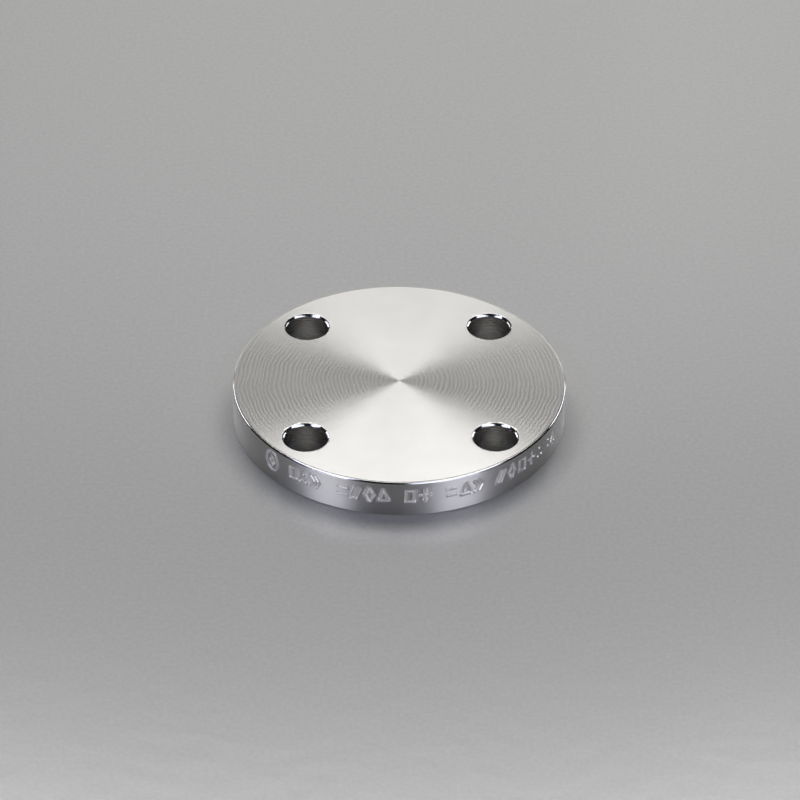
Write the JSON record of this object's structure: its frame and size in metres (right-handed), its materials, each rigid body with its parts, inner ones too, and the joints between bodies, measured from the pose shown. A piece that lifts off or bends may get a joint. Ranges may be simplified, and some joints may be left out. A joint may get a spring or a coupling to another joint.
{
  "type": "blind flange",
  "caption": "Flat-faced round blind flange: a turned stainless disc with a ring of chamfered bolt holes that closes the end of a flanged pipe.",
  "frame": {"origin": "centre of the back face, the one that the flange lies on", "axes": "+Z along the flange's axis, out of the turned gasket face; the X and Y axes run midway between the bolt holes"},
  "size_m": [0.095, 0.095, 0.0114],
  "materials": {
    "turned_steel": "fine lathe-turned satin stainless steel, with brighter chamfers and darker drilled bores"
  },
  "bodies": {
    "root": {"flange_disc": "turned_steel"}
  },
  "joints": []
}
